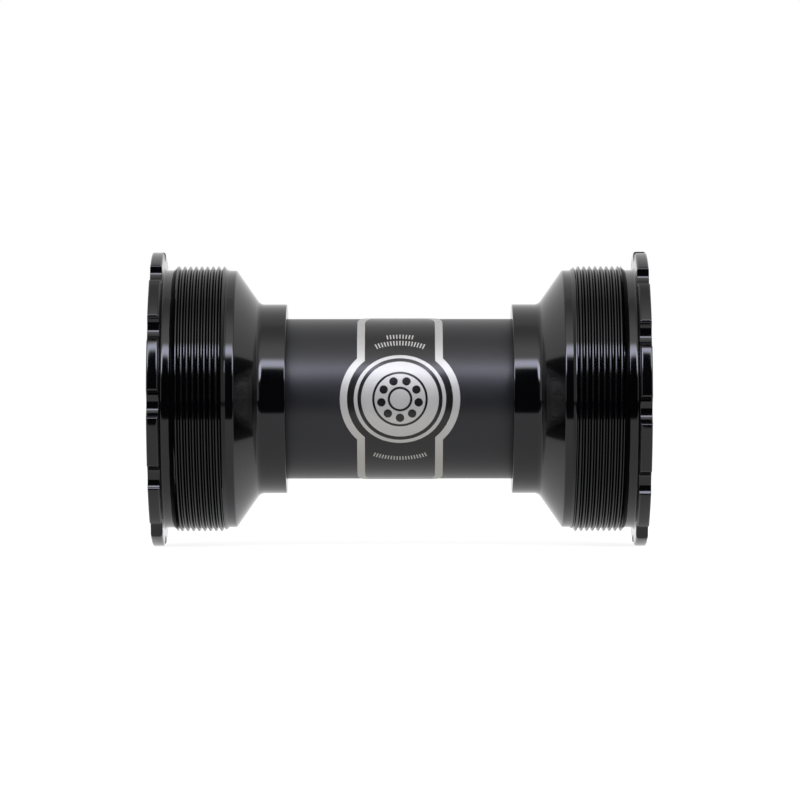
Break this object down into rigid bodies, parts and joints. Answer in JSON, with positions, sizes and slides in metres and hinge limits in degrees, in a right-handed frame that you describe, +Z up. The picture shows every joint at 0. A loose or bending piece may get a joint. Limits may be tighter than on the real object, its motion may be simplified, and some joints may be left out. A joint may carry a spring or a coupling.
{
  "type": "bottom bracket",
  "caption": "Threaded bicycle bottom bracket: two notched cups with cartridge ball bearings and spindle bushings, joined by a labelled centre sleeve.",
  "frame": {"origin": "middle of the assembly on the crank spindle's axis, halfway between the two flanges", "axes": "+X along the spindle's axis to the drive side (the right in use), +Z up, +Y forward"},
  "size_m": [0.0872, 0.052, 0.052],
  "materials": {
    "anodised_cup": "gloss black anodised",
    "sleeve": "satin black",
    "label": "printed film, black and satin silver",
    "bearing_steel": "ground",
    "ball_steel": "polished",
    "cage_nylon": "moulded",
    "seal_rubber": "matt moulded",
    "bushing_acetal": "moulded",
    "o_ring_rubber": "greased rubber"
  },
  "bodies": {
    "sleeve": {"center_sleeve": "sleeve", "label": "label"},
    "drive_o_ring": {"drive_sleeve_o_ring": "o_ring_rubber"},
    "drive_cup": {"drive_cup": "anodised_cup", "drive_outer_race": "bearing_steel", "drive_outboard_seal": "seal_rubber", "drive_inboard_seal": "seal_rubber"},
    "drive_spindle_ring": {"drive_inner_race": "bearing_steel", "drive_spindle_bushing": "bushing_acetal"},
    "drive_ball_set": {"drive_ball_cage": "cage_nylon", "drive_ball_01": "ball_steel", "drive_ball_02": "ball_steel", "drive_ball_03": "ball_steel", "drive_ball_04": "ball_steel", "drive_ball_05": "ball_steel", "drive_ball_06": "ball_steel", "drive_ball_07": "ball_steel", "drive_ball_08": "ball_steel", "drive_ball_09": "ball_steel", "drive_ball_10": "ball_steel", "drive_ball_11": "ball_steel", "drive_ball_12": "ball_steel", "drive_ball_13": "ball_steel", "drive_ball_14": "ball_steel"},
    "non_drive_o_ring": {"non_drive_sleeve_o_ring": "o_ring_rubber"},
    "non_drive_cup": {"non_drive_cup": "anodised_cup", "non_drive_outer_race": "bearing_steel", "non_drive_outboard_seal": "seal_rubber", "non_drive_inboard_seal": "seal_rubber"},
    "non_drive_spindle_ring": {"non_drive_inner_race": "bearing_steel", "non_drive_spindle_bushing": "bushing_acetal"},
    "non_drive_ball_set": {"non_drive_ball_cage": "cage_nylon", "non_drive_ball_01": "ball_steel", "non_drive_ball_02": "ball_steel", "non_drive_ball_03": "ball_steel", "non_drive_ball_04": "ball_steel", "non_drive_ball_05": "ball_steel", "non_drive_ball_06": "ball_steel", "non_drive_ball_07": "ball_steel", "non_drive_ball_08": "ball_steel", "non_drive_ball_09": "ball_steel", "non_drive_ball_10": "ball_steel", "non_drive_ball_11": "ball_steel", "non_drive_ball_12": "ball_steel", "non_drive_ball_13": "ball_steel", "non_drive_ball_14": "ball_steel"}
  },
  "joints": [
    {"name": "drive_cup_slide", "type": "slide", "parent": "sleeve", "child": "drive_o_ring", "axis": [1, 0, 0], "range_m": [0, 0.006]},
    {"name": "drive_cup_turn", "type": "hinge", "parent": "drive_o_ring", "child": "drive_cup", "pos_m": [0.02295, 0, 0], "axis": [1, 0, 0], "continuous": true},
    {"name": "drive_bearing_spin", "type": "hinge", "parent": "drive_cup", "child": "drive_spindle_ring", "pos_m": [0.0395, 0, 0], "axis": [1, 0, 0], "continuous": true},
    {"name": "drive_ball_orbit", "type": "hinge", "parent": "drive_cup", "child": "drive_ball_set", "pos_m": [0.0395, 0, 0], "axis": [1, 0, 0], "continuous": true},
    {"name": "non_drive_cup_slide", "type": "slide", "parent": "sleeve", "child": "non_drive_o_ring", "axis": [-1, 0, 0], "range_m": [0, 0.006]},
    {"name": "non_drive_cup_turn", "type": "hinge", "parent": "non_drive_o_ring", "child": "non_drive_cup", "pos_m": [-0.02295, 0, 0], "axis": [1, 0, 0], "continuous": true},
    {"name": "non_drive_bearing_spin", "type": "hinge", "parent": "non_drive_cup", "child": "non_drive_spindle_ring", "pos_m": [-0.0395, 0, 0], "axis": [1, 0, 0], "continuous": true},
    {"name": "non_drive_ball_orbit", "type": "hinge", "parent": "non_drive_cup", "child": "non_drive_ball_set", "pos_m": [-0.0395, 0, 0], "axis": [1, 0, 0], "continuous": true}
  ],
  "couplings": [
    {"joint": "drive_ball_orbit", "follows": "drive_bearing_spin", "ratio": 0.44355},
    {"joint": "non_drive_ball_orbit", "follows": "non_drive_bearing_spin", "ratio": 0.44355}
  ]
}
